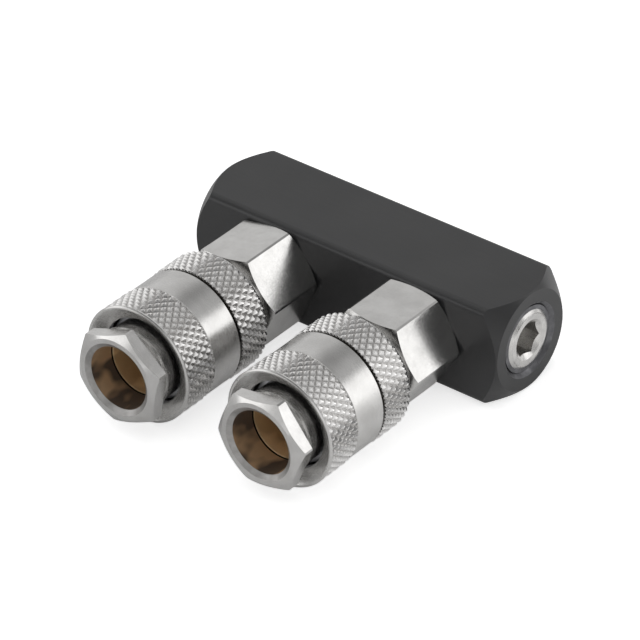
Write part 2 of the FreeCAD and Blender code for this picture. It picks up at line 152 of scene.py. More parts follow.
@dataclass
class Workshop:
    """Makes closed meshes in millimetres about a local Z axis, and puts them in the frame.

    Attributes:
        place: takes a local point in millimetres to the frame in metres.
        steps: how many flat sides a full turn has.
        hole_steps: how many a drilled hole has.
        merge_distance: how near corners are made one.
        on_axis: how small a radius counts as none.
    """

    place: Matrix
    steps: int = 144
    hole_steps: int = 32
    merge_distance: float = 1e-4
    on_axis: float = 1e-6

    @classmethod
    def along_bar(cls, start: float, steps: int = 144) -> "Workshop":
        """Give a workshop whose Z axis is the bar's own line, from a place along it."""
        turn = Matrix.Rotation(QUARTER_TURN, 4, "Y")
        return cls(Matrix.Scale(MM, 4) @ Matrix.Translation((start, 0.0, 0.0)) @ turn, steps)

    def turned(self, name: str, outline: Sequence[Point], steps: int = 0) -> Piece:
        """Revolve a closed outline about the local Z axis.

        Args:
            name: the new object's name.
            outline: corners as (radius, height); a corner on the axis has a radius of 0.
            steps: how many sides a full turn has, or 0 for the workshop's own number.

        Returns:
            The new object, still in local millimetres.
        """
        steps = steps or self.steps
        turns = [2 * math.pi * i / steps for i in range(steps)]
        mesh = bpy.data.meshes.new(name)
        with opened(mesh) as bm:
            rings = []
            for radius, height in outline:
                if radius < self.on_axis:
                    rings.append([bm.verts.new((0, 0, height))] * steps)
                    continue
                rings.append([bm.verts.new((radius * math.cos(turn), radius * math.sin(turn),
                                            height)) for turn in turns])
            for ring, following in zip(rings, rings[1:] + rings[:1]):
                for i in range(steps):
                    j = (i + 1) % steps
                    corners = dict.fromkeys((ring[i], ring[j], following[j], following[i]))
                    if len(corners) > 2:
                        bm.faces.new(list(corners))
        return add_object(name, mesh)

    @staticmethod
    def prism(name: str, corners: Sequence[Point], low: float, high: float) -> Piece:
        """Extrude an outline of (x, y) corners from one height to another.

        Args:
            name: the new object's name.
            corners: the outline, in order round it.
            low: the local height of the bottom.
            high: the local height of the top.

        Returns:
            The new object, still in local millimetres.
        """
        mesh = bpy.data.meshes.new(name)
        with opened(mesh) as bm:
            bottom = [bm.verts.new((x, y, low)) for x, y in corners]
            top = [bm.verts.new((x, y, high)) for x, y in corners]
            bm.faces.new(bottom)
            bm.faces.new(top)
            for i in range(len(corners)):
                j = (i + 1) % len(corners)
                bm.faces.new((bottom[i], bottom[j], top[j], top[i]))
        return add_object(name, mesh)

    @staticmethod
    def carve(base: Piece, tool: Piece, how: Carve = Carve.CUT) -> None:
        """Apply one solid to another and throw the tool away.

        Args:
            base: the solid that is kept, and changed.
            tool: the solid that works on it.
            how: cut, or keep what is common.
        """
        modify(base, "BOOLEAN", operation=how.value, solver="EXACT", object=tool)
        mesh = tool.data
        bpy.data.objects.remove(tool)
        bpy.data.meshes.remove(mesh)

    def drill(self, base: Piece, outline: Sequence[Point], count: int, height: float) -> None:
        """Cut equal holes at even turns, each pointing away from the local Z axis.

        Args:
            base: the solid to drill.
            outline: one hole's outline, as (radius, distance from the Z axis).
            count: how many holes there are.
            height: the local height of their middles.
        """
        for i in range(count):
            hole = self.turned("hole", outline, self.hole_steps)
            lay = Matrix.Rotation(2 * math.pi * i / count, 4, "Z")
            lay = lay @ Matrix.Rotation(QUARTER_TURN, 4, "Y")
            hole.data.transform(Matrix.Translation((0.0, 0.0, height)) @ lay)
            self.carve(base, hole)

    def settle(self, piece: Piece, finish: Material, edge: float, limit: float = 28.0) -> Piece:
        """Break a solid's edges, smooth its faces, put it in the frame and give it a finish.

        Args:
            piece: an object in local millimetres.
            finish: the material of all its faces.
            edge: the width of the broken edges in millimetres.
            limit: the sharpest turn in degrees that still counts as smooth.

        Returns:
            The same object, in metres in the frame.
        """
        with opened(piece.data) as bm:
            bmesh.ops.remove_doubles(bm, verts=bm.verts, dist=self.merge_distance)
            bmesh.ops.dissolve_degenerate(bm, edges=bm.edges, dist=self.merge_distance)
        if edge > 0:
            modify(piece, "BEVEL", width=edge, segments=2, limit_method="ANGLE",
                   angle_limit=math.radians(limit))
        for face in piece.data.polygons:
            face.use_smooth = True
        modify(piece, "WEIGHTED_NORMAL", keep_sharp=True, weight=80)
        piece.data.transform(self.place)
        piece.data.materials.clear()
        piece.data.materials.append(finish)
        return piece


def merged(name: str, pieces: Sequence[Piece]) -> Piece:
    """Put several objects' meshes and materials into one object.

    Args:
        name: the new object's name.
        pieces: the objects, of which the first is kept.

    Returns:
        One object with all of their faces.
    """
    target = pieces[0]
    with bpy.context.temp_override(active_object=target, object=target,
                                   selected_editable_objects=list(pieces),
                                   selected_objects=list(pieces)):
        bpy.ops.object.join()
    target.name = name
    target.data.name = name
    return target


def hexagon(apothem: float, turn: float) -> list[Point]:
    """Give a hexagon's corners.

    Args:
        apothem: half the width across flats.
        turn: the first corner's angle in degrees.

    Returns:
        Six (x, y) corners.
    """
    reach = apothem * 2 / math.sqrt(3)
    angles = [math.radians(turn + 60 * i) for i in range(6)]
    return [(reach * math.cos(a), reach * math.sin(a)) for a in angles]


def stepped(radius: float, height: float, *turns: float) -> list[Point]:
    """Give an outline whose corners are all square.

    Args:
        radius: the first corner's radius.
        height: its height.
        turns: the next corner's radius, the height of the one after, and so on in turn.

    Returns:
        The corners as (radius, height).
    """
    corners = [(radius, height)]
    for i, value in enumerate(turns):
        corners.append((corners[-1][0], value) if i % 2 else (value, corners[-1][1]))
    return corners


def paint_faces(piece: Piece, material: Material, wanted: Callable[[Vector], bool]) -> None:
    """Give some faces a material of their own.

    Args:
        piece: an object in the frame whose first slot is filled.
        material: what the chosen faces get.
        wanted: tells of a corner, in metres, whether its face may be chosen; all must pass.
    """
    piece.data.materials.append(material)
    index = len(piece.data.materials) - 1
    chosen = [wanted(corner.co) for corner in piece.data.vertices]
    for face in piece.data.polygons:
        if all(chosen[i] for i in face.vertices):
            face.material_index = index


def deliver(piece: Piece, name: str, body: str, node: str) -> None:
    """Tell the frame what a piece is and what it moves with.

    Args:
        piece: the finished object.
        name: its name.
        body: the body that carries it.
        node: the node that it stands for.
    """
    piece.name = name
    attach(piece, body)
    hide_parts(node)
    LOG.info("made %s", name)


# Node trees


class Wiring:
    """Adds nodes to a tree and links them."""

    def __init__(self, tree: bpy.types.NodeTree) -> None:
        """Start on a tree."""
        self.tree = tree

    def node(self, kind: str, settings: Optional[dict] = None, **sockets: object) -> bpy.types.Node:
        """Add a node.

        Args:
            kind: the node's type.
            settings: properties set on the node itself.
            sockets: each input's value or the output that feeds it, with _ for a space.

        Returns:
            The new node.
        """
        node = self.tree.nodes.new(kind)
        for key, value in (settings or {}).items():
            setattr(node, key, value)
        for key, value in sockets.items():
            self.feed(node.inputs[key.replace("_", " ")], value)
        return node

    def feed(self, socket: Socket, value: object) -> None:
        """Set an input, or link an output to it.

        Args:
            socket: the input.
            value: its value, or the output that feeds it.
        """
        if isinstance(value, bpy.types.NodeSocket):
            self.tree.links.new(value, socket)
        else:
            socket.default_value = value

    def calc(self, how: str, *values: object) -> Socket:
        """Add a math node.

        Args:
            how: what it works out.
            values: one to three values, or the outputs that feed it.

        Returns:
            Its result.
        """
        node = self.node("ShaderNodeMath", {"operation": how})
        for socket, value in zip(node.inputs, values):
            self.feed(socket, value)
        return node.outputs[0]

    def graded(self, value: Socket, span: Point, levels: Point = (0.0, 1.0),
               curve: str = "LINEAR") -> Socket:
        """Turn one range of values into another, and hold its ends.

        Args:
            value: what is turned.
            span: the two values between which the level changes.
            levels: the level at each of them.
            curve: how the level runs between them.

        Returns:
            The level.
        """
        node = self.node("ShaderNodeMapRange", {"interpolation_type": curve}, Value=value,
                         From_Min=span[0], From_Max=span[1], To_Min=levels[0], To_Max=levels[1])
        return node.outputs["Result"]

    def ramp(self, value: Socket, *stops: tuple[float, Triple]) -> Socket:
        """Blend colours by a value.

        Args:
            value: what drives the blend.
            stops: values in rising order, each with the linear colour that it gives.

        Returns:
            The blended colour.
        """
        node = self.node("ShaderNodeValToRGB", Fac=value)
        elements = node.color_ramp.elements
        elements[0].position = stops[0][0]
        elements[1].position = stops[-1][0]
        for position, _ in stops[1:-1]:
            elements.new(position)
        for element, (_, colour) in zip(elements, stops):
            element.color = (*colour, 1.0)
        return node.outputs["Color"]


class Shader(Wiring):
    """One material's nodes around a Principled shader."""

    layer_strength = 0.55

    def __init__(self, name: str, colour: Triple, metallic: float, roughness: float) -> None:
        """Make the material and set the plain sockets.

        Args:
            name: the material's name.
            colour: base colour, linear.
            metallic: 1 for bare metal.
            roughness: the shader's plain roughness.
        """
        self.material = bpy.data.materials.new(name)
        self.material.use_nodes = True
        super().__init__(self.material.node_tree)
        self.surface = self.tree.nodes["Principled BSDF"]
        self.surface.inputs["Base Color"].default_value = (*colour, 1.0)
        self.surface.inputs["Metallic"].default_value = metallic
        self.surface.inputs["Roughness"].default_value = roughness
        self.coordinates = self.node("ShaderNodeTexCoord").outputs["Object"]

    def noise(self, scale: Triple, layers: float) -> Socket:
        """Add a noise pattern.

        Args:
            scale: how many features a metre has along each axis.
            layers: how many finer layers it has.

        Returns:
            The pattern's value.
        """
        mapping = self.node("ShaderNodeMapping", Vector=self.coordinates, Scale=scale)
        texture = self.node("ShaderNodeTexNoise", Vector=mapping.outputs["Vector"], Scale=1.0,
                            Detail=layers, Roughness=self.layer_strength)
        return texture.outputs["Fac"]

    def bump(self, height: Socket, depth: float, **after: Socket) -> Socket:
        """Raise the surface by a pattern, its full height in metres, perhaps on another Normal."""
        return self.node("ShaderNodeBump", Height=height, Distance=depth, **after).outputs["Normal"]

    def done(self, **sockets: Socket) -> Material:
        """Drive the shader's sockets and end the material.

        Args:
            sockets: what feeds each socket, with _ for a space in its name.

        Returns:
            The material.
        """
        for key, value in sockets.items():
            self.feed(self.surface.inputs[key.replace("_", " ")], value)
        return self.material


# Finishes


def even(value: float) -> Triple:
    """Give a value three times, for a grey or for a pattern that is the same each way."""
    return (value, value, value)


@dataclass(frozen=True)
class Finish:
    """Two shades that soft patches blend, over marks that set the roughness.

    Attributes:
        name: the material's name.
        dark: the darker shade, linear.
        light: the lighter shade, linear.
        rough: the lowest and the highest roughness.
        marks: how many tool marks a metre has along each axis.
        depth: how deep they are, in metres.
        patches: how many patches a metre has along each axis.
        edges: the values of the patches' pattern that give the two shades.
        metallic: 1 for bare metal.
        mark_layers: how many finer layers the marks have.
        patch_layers: how many finer layers the patches have.
        noise_range: the values of the marks' pattern that give the two roughnesses.
    """

    name: str
    dark: Triple
    light: Triple
    rough: Point
    marks: Triple
    depth: float
    patches: Triple = even(420.0)
    edges: Point = (0.35, 0.65)
    metallic: float = 1.0
    mark_layers: float = 3.0
    patch_layers: float = 4.0
    noise_range: Point = (0.3, 0.7)

    def material(self) -> Material:
        """Build the material.

        Returns:
            The material, with all its nodes.
        """
        shader = Shader(self.name, self.light, self.metallic, sum(self.rough) / 2)
        marks = shader.noise(self.marks, self.mark_layers)
        return shader.done(Base_Color=self.shade(shader),
                           Roughness=shader.graded(marks, self.noise_range, self.rough),
                           Normal=self.relief(shader, marks))

    def blend(self, shader: Shader, value: Socket) -> Socket:
        """Blend the two shades by a value."""
        return shader.ramp(value, (self.edges[0], self.dark), (self.edges[1], self.light))

    def shade(self, shader: Shader) -> Socket:
        """Blend the two shades by the patches."""
        return self.blend(shader, shader.noise(self.patches, self.patch_layers))

    def relief(self, shader: Shader, marks: Socket) -> Socket:
        """Raise the marks."""
        return shader.bump(marks, self.depth)


@dataclass(frozen=True)
class Anodised(Finish):
    """A drawn grain with anodising's fine speckle on it.

    Attributes:
        speckle: how many specks a metre has along each axis.
        speckle_depth: how deep they are, in metres.
    """

    speckle: Triple = even(9000.0)
    speckle_depth: float = 0.000003

    def relief(self, shader: Shader, marks: Socket) -> Socket:
        """Raise the grain, and the speckle on it."""
        speckle = shader.noise(self.speckle, 2.0)
        return shader.bump(speckle, self.speckle_depth, Normal=super().relief(shader, marks))


@dataclass(frozen=True, kw_only=True)
class KnurlShadeAndHighlight(Finish):
    """Plate painted darker between a sleeve's teeth as shade, and lighter at their tips as a
    highlight.

    Attributes:
        centre: where the coupler's axis lies along the bar, in millimetres.
        root: radius between the teeth, in millimetres.
        tip: radius at their tips, in millimetres.
    """

    centre: float
    root: float
    tip: float

    def shade(self, shader: Shader) -> Socket:
        """Blend the two shades by the distance from the coupler's axis: painted shade at the roots,
        painted highlight at the tips.

        Args:
            shader: the material's nodes.

        Returns:
            The blended colour.
        """
        across = shader.node("ShaderNodeMapping", Vector=shader.coordinates,
                             Location=(-self.centre * MM, 0.0, 0.0), Scale=(1.0, 0.0, 1.0))
        radius = shader.node("ShaderNodeVectorMath", {"operation": "LENGTH"})
        shader.feed(radius.inputs[0], across.outputs["Vector"])
        span = (self.root * MM, self.tip * MM)
        return self.blend(shader, shader.graded(radius.outputs["Value"], span))


def made(finish: Finish) -> Material:
    """Have a finish's material made with the set of finishes."""
    return field(default_factory=finish.material)


def turned_metal(name: str, dark: Triple, light: Triple, roughness: float) -> Material:
    """Have bare metal with rings left by turning made with the set of finishes."""
    rough = (roughness * 0.8, roughness * 1.25)
    return made(Finish(name, dark, light, rough, (300.0, 16000.0, 300.0), 0.000004))


def plate(name: str, rough: Point, marks: Triple) -> Material:
    """Have bright nickel plate over tool marks made with the set of finishes."""
    return made(Finish(name, (0.59, 0.582, 0.57), (0.68, 0.672, 0.66), rough, marks, 0.000006,
                       patches=even(240.0)))


def bore_brass_light_and_shade(name: str, dark: Triple, light: Triple) -> Material:
    """Have bore brass whose two tones, blended in streaky patches, carry painted shade and glow,
    made with the set of finishes.
    """
    return made(Finish(name, dark, light, (0.34, 0.48), (300.0, 9000.0, 300.0), 0.000003,
                       patches=(190.0, 110.0, 190.0), edges=(0.46, 0.60), metallic=0.35,
                       patch_layers=2.0))


@dataclass(frozen=True)
class Finishes:
    """The splitter's finishes, each made once.

    Attributes:
        anodised: satin black on the bar.
        bevel_light_and_shade: a grey painted on the bar's end-port bevels as their light, and on
            the plug's outer chamfer as its shade.
        nickel: bright plate on turned faces.
        milled: bright plate on the hexagons' flats.
        bore_front_shade: brass painted dark at the front of the plug bores, as their shade.
        bore_deep_glow: brass painted bright behind the guide ring, as a painted glow.
        mouth: the bevel round a bore's mouth, rougher than the plate and painted a darker grey as
            shade.
        groove_shade: near black painted in the grooves as their shade.
        brass: the poppets' plain turned brass.
        steel: springs and stop rings.
        polished: locking balls.
        plug: the end plug.
        rubber: seals.
    """

    anodised: Material = made(Anodised(
        "bar_anodised", (0.023, 0.023, 0.024), (0.031, 0.031, 0.032), (0.30, 0.42),
        (160.0, 9000.0, 9000.0), 0.000004, patches=even(60.0), edges=(0.3, 0.7), metallic=0.0,
        mark_layers=4.0, patch_layers=2.0))
    # Painted light on the bar's end-port bevels, painted shade on the end plug's outer chamfer
    bevel_light_and_shade: Material = turned_metal("bevel_painted_light_and_shade", (0.10, 0.10, 0.105), (0.20, 0.20, 0.21), 0.34)
    nickel: Material = plate("nickel_turned", (0.20, 0.30), (900.0, 26000.0, 900.0))
    milled: Material = plate("nickel_milled", (0.16, 0.26), even(2600.0))
    # Painted shade at the bores' fronts and painted glow deeper in, each in streaky patches
    bore_front_shade: Material = bore_brass_light_and_shade("bore_front", (0.13, 0.10, 0.08), (0.62, 0.43, 0.26))
    bore_deep_glow: Material = bore_brass_light_and_shade("bore_deep_painted_glow", (0.66, 0.47, 0.26), (0.98, 0.73, 0.44))
    # Painted shade: the mouth bevel is a darker grey than the plate, as well as rougher
    mouth: Material = turned_metal("bore_mouth_painted_shade", (0.34, 0.33, 0.32), (0.48, 0.47, 0.46), 0.46)
    # Painted shade: near black for the recessed grooves
    groove_shade: Material = turned_metal("groove_painted_shade", (0.02, 0.017, 0.014), (0.03, 0.026, 0.02), 0.4)
    brass: Material = turned_metal("poppet_brass", (0.50, 0.33, 0.12), (0.70, 0.50, 0.22), 0.28)
    steel: Material = turned_metal("spring_steel", (0.35, 0.35, 0.36), (0.50, 0.50, 0.52), 0.30)
    polished: Material = turned_metal("ball_steel", (0.60, 0.60, 0.62), (0.70, 0.70, 0.72), 0.12)
    plug: Material = turned_metal("plug_steel", (0.54, 0.53, 0.52), (0.70, 0.69, 0.67), 0.27)
    rubber: Material = made(Finish(
        "seal_rubber", even(0.014), even(0.026), (0.55, 0.75), even(900.0), 0.000008,
        patches=even(900.0), edges=(0.3, 0.7), metallic=0.0, patch_layers=3.0))


# What repeats or follows a path, made with Geometry Nodes


class Tree(Wiring):
    """A small Geometry Nodes tree that is applied once and then thrown away."""

    def __init__(self, name: str, inputs: dict[str, float]) -> None:
        """Start a tree.

        Args:
            name: the tree's name.
            inputs: the name and value of each size; whole numbers become integer inputs.
        """
        super().__init__(bpy.data.node_groups.new(name, "GeometryNodeTree"))
        self.values = {}
        for label, value in inputs.items():
            kind = "NodeSocketInt" if isinstance(value, int) else "NodeSocketFloat"
            socket = self.tree.interface.new_socket(label, in_out="INPUT", socket_type=kind)
            self.values[socket.identifier] = value
        self.tree.interface.new_socket("Mesh", in_out="OUTPUT", socket_type="NodeSocketGeometry")
        self.inputs = self.node("NodeGroupInput").outputs
        self.output = self.node("NodeGroupOutput").inputs["Mesh"]

    def finish(self, geometry: Socket, material: Material, name: str) -> Piece:
        """End the tree, apply it and give its plain mesh.

        Args:
            geometry: what the tree has made.
            material: what its faces get.
            name: the new object's name.

        Returns:
            An object with a plain mesh.
        """
        solid = self.node("GeometryNodeRealizeInstances", Geometry=geometry).outputs[0]
        dressed = self.node("GeometryNodeSetMaterial", Geometry=solid, Material=material)
        self.feed(self.output, dressed.outputs[0])
        piece = add_object(name, bpy.data.meshes.new(name))
        modifier = piece.modifiers.new("tree", "NODES")
        modifier.node_group = self.tree
        for identifier, value in self.values.items():
            modifier[identifier] = value
        bake_modifiers(piece)
        bpy.data.node_groups.remove(self.tree)
        return piece


@dataclass(frozen=True)
class Knurl:
    """One band of diamond knurling, as rows of blunt four-sided teeth.

    Attributes:
        radius: radius at the teeth's tips.
        depth: how far the teeth stand up.
        start: local height of the band's back edge.
        end: local height of its front edge.
        around: how many teeth a row has.
        rows: how many rows, each half a tooth further on than the last.
        foot: how far the teeth reach into the metal below them.
        blunt: the tip's size as a share of the tooth's.
    """

    radius: float
    depth: float
    start: float
    end: float
    around: int = 48
    rows: int = 9
    foot: float = 0.03
    blunt: float = 0.22

    def build(self, name: str, material: Material) -> Piece:
        """Make the band's teeth with Geometry Nodes.

        Args:
            name: the new object's name.
            material: the teeth's finish.

        Returns:
            A plain mesh in local millimetres.
        """
        tree = Tree("knurl_band", {
            "Around": self.around, "Rows": self.rows,
            "Root": self.radius - self.depth - self.foot, "Start": self.start, "End": self.end,
            "Height": self.depth + self.foot,
        })
        around, rows, root, start, end, height = (tree.inputs[i] for i in range(6))
        index = tree.node("GeometryNodeInputIndex").outputs[0]
        row = tree.calc("FLOOR", tree.calc("DIVIDE", index, around))
        shift = tree.calc("MULTIPLY", tree.calc("MODULO", row, 2.0), 0.5)
        share = tree.calc("DIVIDE", tree.calc("ADD", index, shift), around)
        turn = tree.calc("MULTIPLY", share, 2 * math.pi)
        gap = tree.calc("DIVIDE", tree.calc("SUBTRACT", end, start),
                        tree.calc("SUBTRACT", rows, 2.0))
        rise = tree.calc("ADD", start, tree.calc("MULTIPLY", gap, tree.calc("SUBTRACT", row, 0.5)))
        cosine = tree.calc("COSINE", turn)
        sine = tree.calc("SINE", turn)
        outward = tree.node("ShaderNodeCombineXYZ", X=cosine, Y=sine).outputs[0]
        place = tree.node("ShaderNodeCombineXYZ", X=tree.calc("MULTIPLY", cosine, root),
                          Y=tree.calc("MULTIPLY", sine, root), Z=rise).outputs[0]
        points = tree.node("GeometryNodePoints", Count=tree.calc("MULTIPLY", around, rows),
                           Position=place, Radius=0.1).outputs[0]
        up = tree.node("FunctionNodeAlignRotationToVector", {"axis": "Z"},
                       Vector=outward).outputs[0]
        squared = tree.node("FunctionNodeAlignRotationToVector",
                            {"axis": "X", "pivot_axis": "Z"},
                            Rotation=up, Vector=(0.0, 0.0, 1.0)).outputs[0]
        tooth = tree.node("GeometryNodeMeshCone", {"fill_type": "NGON"}, Vertices=4,
                          Radius_Top=self.blunt, Radius_Bottom=1.0, Depth=1.0).outputs[0]
        girth = tree.calc("DIVIDE", tree.calc("MULTIPLY", root, math.pi), around)
        size = tree.node("ShaderNodeCombineXYZ", X=gap, Y=girth, Z=height).outputs[0]
        teeth = tree.node("GeometryNodeInstanceOnPoints", Points=points, Instance=tooth,
                          Rotation=squared, Scale=size).outputs[0]
        band = tree.finish(teeth, material, name)
        self._trim(band, self.start, -1.0)
        self._trim(band, self.end, 1.0)
        return band

    @staticmethod
    def _trim(band: Piece, height: float, way: float) -> None:
        """Cut the teeth off flat at one end of the band and close them.

        Args:
            band: the band's teeth.
            height: where the cut lies.
            way: 1 to cut away what lies above it, -1 for what lies below.
        """
        with opened(band.data) as bm:
            cut = bmesh.ops.bisect_plane(bm, geom=bm.verts[:] + bm.edges[:] + bm.faces[:],
                                         plane_co=(0.0, 0.0, height), plane_no=(0.0, 0.0, way),
                                         clear_outer=True)
            rim = [e for e in cut["geom_cut"] if isinstance(e, bmesh.types.BMEdge)]
            bmesh.ops.holes_fill(bm, edges=rim, sides=0)


@dataclass(frozen=True)
class Coil:
    """A round-wire compression spring between two seats.

    Attributes:
        middle: radius of the wire's middle.
        wire: wire diameter.
        start: local height of the fixed seat.
        end: local height of the moving seat.
        turns: how many turns it has.
        travel: how far it shortens in use; not used.
    """

    middle: float
    wire: float
    start: float
    end: float
    turns: float
    travel: float

    def build(self, name: str, material: Material) -> Piece:
        """Sweep the wire along a spiral with Geometry Nodes.

        Args:
            name: the new object's name.
            material: the wire's finish.

        Returns:
            A plain mesh in local millimetres.
        """
        tree = Tree("coil", {
            "Middle": self.middle, "Wire radius": self.wire / 2, "Turns": self.turns,
            "Seat": self.start + self.wire / 2, "Rise": self.end - self.start - self.wire,
        })
        middle, wire, turns, seat, rise = (tree.inputs[i] for i in range(5))
        path = tree.node("GeometryNodeCurveSpiral", Resolution=40, Rotations=turns,
                         Start_Radius=middle, End_Radius=middle, Height=rise).outputs[0]
        section = tree.node("GeometryNodeCurvePrimitiveCircle", Resolution=14,
                            Radius=wire).outputs[0]
        swept = tree.node("GeometryNodeCurveToMesh", Curve=path, Profile_Curve=section,
                          Fill_Caps=True).outputs[0]
        lift = tree.node("ShaderNodeCombineXYZ", Z=seat).outputs[0]
        moved = tree.node("GeometryNodeTransform", Geometry=swept, Translation=lift).outputs[0]
        return tree.finish(moved, material, name)


# The bar and its end plug


@dataclass
class Bar:
    """The square manifold bar."""

    finishes: Finishes
    length: float = 68.4
    side: float = 20.0
    edge_radius: float = 1.5
    end_land: float = 0.2
    end_angle: float = 40.0
    port_radius: float = 6.5785
    port_bevel: float = 0.8
    end_port_depth: float = 11.4
    front_port_depth: float = 6.8
    gallery_radius: float = 3.3
    drill_play: float = 0.01
    drill_start: float = 0.3
    port_pitch: float = 32.0
    round_steps: int = 8
    # how far past each end port's bevel the painted light reaches, in millimetres
    painted_light_rim: float = 0.05

    @property
    def port_centres(self) -> dict[Side, float]:
        """Where each coupler's axis lies along the bar."""
        middle = self.length / 2
        return {Side.LEFT: middle - self.port_pitch / 2, Side.RIGHT: middle + self.port_pitch / 2}

    def build(self) -> None:
        """Make the bar, with its bores, and dress it."""
        shop = Workshop.along_bar(0.0, steps=192)
        bar = shop.prism("bar", self._section(), 0.0, self.length)
        shop.carve(bar, self._cones(shop), Carve.KEEP_COMMON)
        shop.carve(bar, self._gallery(shop))
        for centre in self.port_centres.values():
            shop.carve(bar, self._front_port(shop, centre))
        shop.settle(bar, self.finishes.anodised, edge=0.12, limit=24.0)
        # Painted light: the bevels of the ports at both ends get a lighter grey than the anodising,
        # standing in for the light they mirror
        reach = (self.port_radius + self.port_bevel + self.painted_light_rim) * MM
        depth = (self.port_bevel + self.painted_light_rim) * MM
        end = self.length * MM
        paint_faces(bar, self.finishes.bevel_light_and_shade, lambda p: math.hypot(p.y, p.z) < reach and (
            p.x < depth or p.x > end - depth))
        deliver(bar, "bar", "body", "manifold_bar")

    def _section(self) -> list[Point]:
        """Give the square section with rounded edges.

        Returns:
            Its corners, in order round it.
        """
        centre = self.side / 2 - self.edge_radius
        corners = []
        for quarter, (sx, sy) in enumerate(((1, 1), (-1, 1), (-1, -1), (1, -1))):
            for i in range(self.round_steps + 1):
                angle = QUARTER_TURN * (quarter + i / self.round_steps)
                corners.append((sx * centre + self.edge_radius * math.cos(angle),
                                sy * centre + self.edge_radius * math.sin(angle)))
        return corners

    def _cones(self, shop: Workshop) -> Piece:
        """Turn a solid with the bar's two coned ends.

        Args:
            shop: the bar's workshop.

        Returns:
            The solid, in local millimetres.
        """
        face = self.side / 2 - self.end_land
        outside = self.side
        run = (outside - face) * math.tan(math.radians(self.end_angle))
        return shop.turned("cones", [
            (0.0, 0.0), (face, 0.0), (outside, run), (outside, self.length - run),
            (face, self.length), (0.0, self.length),
        ])

    def _gallery(self, shop: Workshop) -> Piece:
        """Turn the tool for the bore from end to end and the port at each end.

        Args:
            shop: the bar's workshop.

        Returns:
            The tool, in local millimetres.
        """
        port = self.port_radius
        mouth = port + self.port_bevel
        depth = self.end_port_depth
        end = self.length
        return shop.turned("gallery", [
            *stepped(0.0, -CLEARANCE, mouth, 0.0), (port, self.port_bevel),
            *stepped(port, depth, self.gallery_radius, end - depth, port, end - self.port_bevel),
            (mouth, end), (mouth, end + CLEARANCE), (0.0, end + CLEARANCE),
        ])

    def _front_port(self, shop: Workshop, centre: float) -> Piece:
        """Turn the tool for one port in the front face, down to the gallery.

        Args:
            shop: the bar's workshop.
            centre: where the port lies along the bar.

        Returns:
            The tool, in local millimetres.
        """
        half = self.side / 2
        port = self.port_radius
        mouth = port + self.port_bevel
        drilled = self.gallery_radius - self.drill_play
        tool = shop.turned("front_port", [
            *stepped(0.0, self.drill_start, drilled, half - self.front_port_depth, port,
                     half - self.port_bevel),
            (mouth, half), (mouth, half + CLEARANCE), (0.0, half + CLEARANCE),
        ])
        # The bar's own turn takes local X to -Z and local Z to +X in the frame
        turn = Matrix.Rotation(QUARTER_TURN, 4, "X")
        tool.data.transform(Matrix.Translation((0.0, 0.0, centre)) @ turn)
        return tool


@dataclass
class EndPlug:
    """The threaded plug in the bar's right end, with its hexagon key hole and stepped ring."""

    finishes: Finishes
    bar_length: float
    radius: float = 6.5285
    length: float = 9.0
    chamfer: float = 0.8
    recess: float = 0.15
    key: float = 6.0
    key_depth: float = 5.0
    key_turn: float = 19.5
    rim_depth: float = 0.45
    ring_outer: float = 5.72
    ring_inner: float = 5.1
    ring_foot: float = 0.42
    ring_bevel: float = 0.1
    ring_drop: float = 0.02
    ring_groove: float = 0.16
    face_radius: float = 4.95
    # how far inside the ring's outer edge the painted shade begins, in millimetres
    painted_shade_margin: float = 0.04
    lead_radius: float = 3.95
    lead_inner: float = 2.6
    lead_depth: float = 1.05
    lead_foot: float = 2.0

    def build(self) -> None:
        """Make the plug and dress it."""
        top = self.length
        shop = Workshop.along_bar(self.bar_length - self.recess - self.length)
        plug = shop.turned("end_plug_piece", [
            (0.0, 0.0), (self.radius - self.chamfer, 0.0), (self.radius, self.chamfer),
            (self.radius, top - self.rim_depth), (self.ring_outer, top - self.ring_foot),
            (self.ring_inner + self.ring_bevel, top - self.ring_drop),
            (self.ring_inner, top - self.ring_groove), (self.face_radius, top), (0.0, top),
        ])
        shop.carve(plug, shop.prism("key", hexagon(self.key / 2, self.key_turn),
                                    top - self.key_depth, top + CLEARANCE))
        shop.carve(plug, shop.turned("key_lead", [
            *stepped(0.0, top - self.lead_foot, self.lead_inner, top - self.lead_depth),
            (self.lead_radius, top), (self.lead_radius, top + CLEARANCE), (0.0, top + CLEARANCE),
        ]))
        shop.settle(plug, self.finishes.plug, edge=0.08)
        # Painted shade: the plug's outer chamfer gets a dark grey in place of the bright steel
        rim = (self.ring_outer - self.painted_shade_margin) * MM
        paint_faces(plug, self.finishes.bevel_light_and_shade, lambda p: math.hypot(p.y, p.z) > rim)
        deliver(plug, "end_plug_piece", "body", "end_plug")


# One coupler


